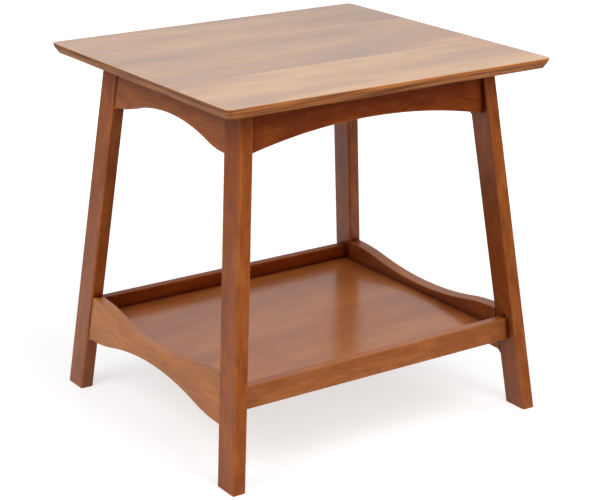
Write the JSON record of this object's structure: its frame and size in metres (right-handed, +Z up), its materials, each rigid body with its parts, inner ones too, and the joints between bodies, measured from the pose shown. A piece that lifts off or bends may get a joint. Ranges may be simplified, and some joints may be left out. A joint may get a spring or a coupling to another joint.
{
  "type": "end table with shelf",
  "caption": "Wooden end table with an undercut flat top on legs that splay both ways, arched aprons under the top and a low tray shelf between waisted side rails.",
  "frame": {"origin": "on the floor, under the middle of the table top", "axes": "+X to the table's right, +Y to its back, along the side frames, +Z up"},
  "size_m": [0.609, 0.557, 0.607],
  "materials": {
    "top_wood": "stained and satin lacquered",
    "leg_wood": "stained and satin lacquered",
    "board_wood": "stained and satin lacquered",
    "shelf_wood": "stained and satin lacquered",
    "block_wood": "bare, sanded",
    "screw_steel": "zinc plated"
  },
  "bodies": {
    "root": {"back_apron": "board_wood", "back_rail": "board_wood", "corner_block_back_left": "block_wood", "corner_block_back_right": "block_wood", "corner_block_front_left": "block_wood", "corner_block_front_right": "block_wood", "front_apron": "board_wood", "front_rail": "board_wood", "leg_back_left": "leg_wood", "leg_back_right": "leg_wood", "leg_front_left": "leg_wood", "leg_front_right": "leg_wood", "shelf_panel": "shelf_wood", "side_apron_left": "board_wood", "side_apron_right": "board_wood", "side_rail_left": "board_wood", "side_rail_right": "board_wood", "table_top": "top_wood", "top_screws": "screw_steel"}
  },
  "joints": []
}
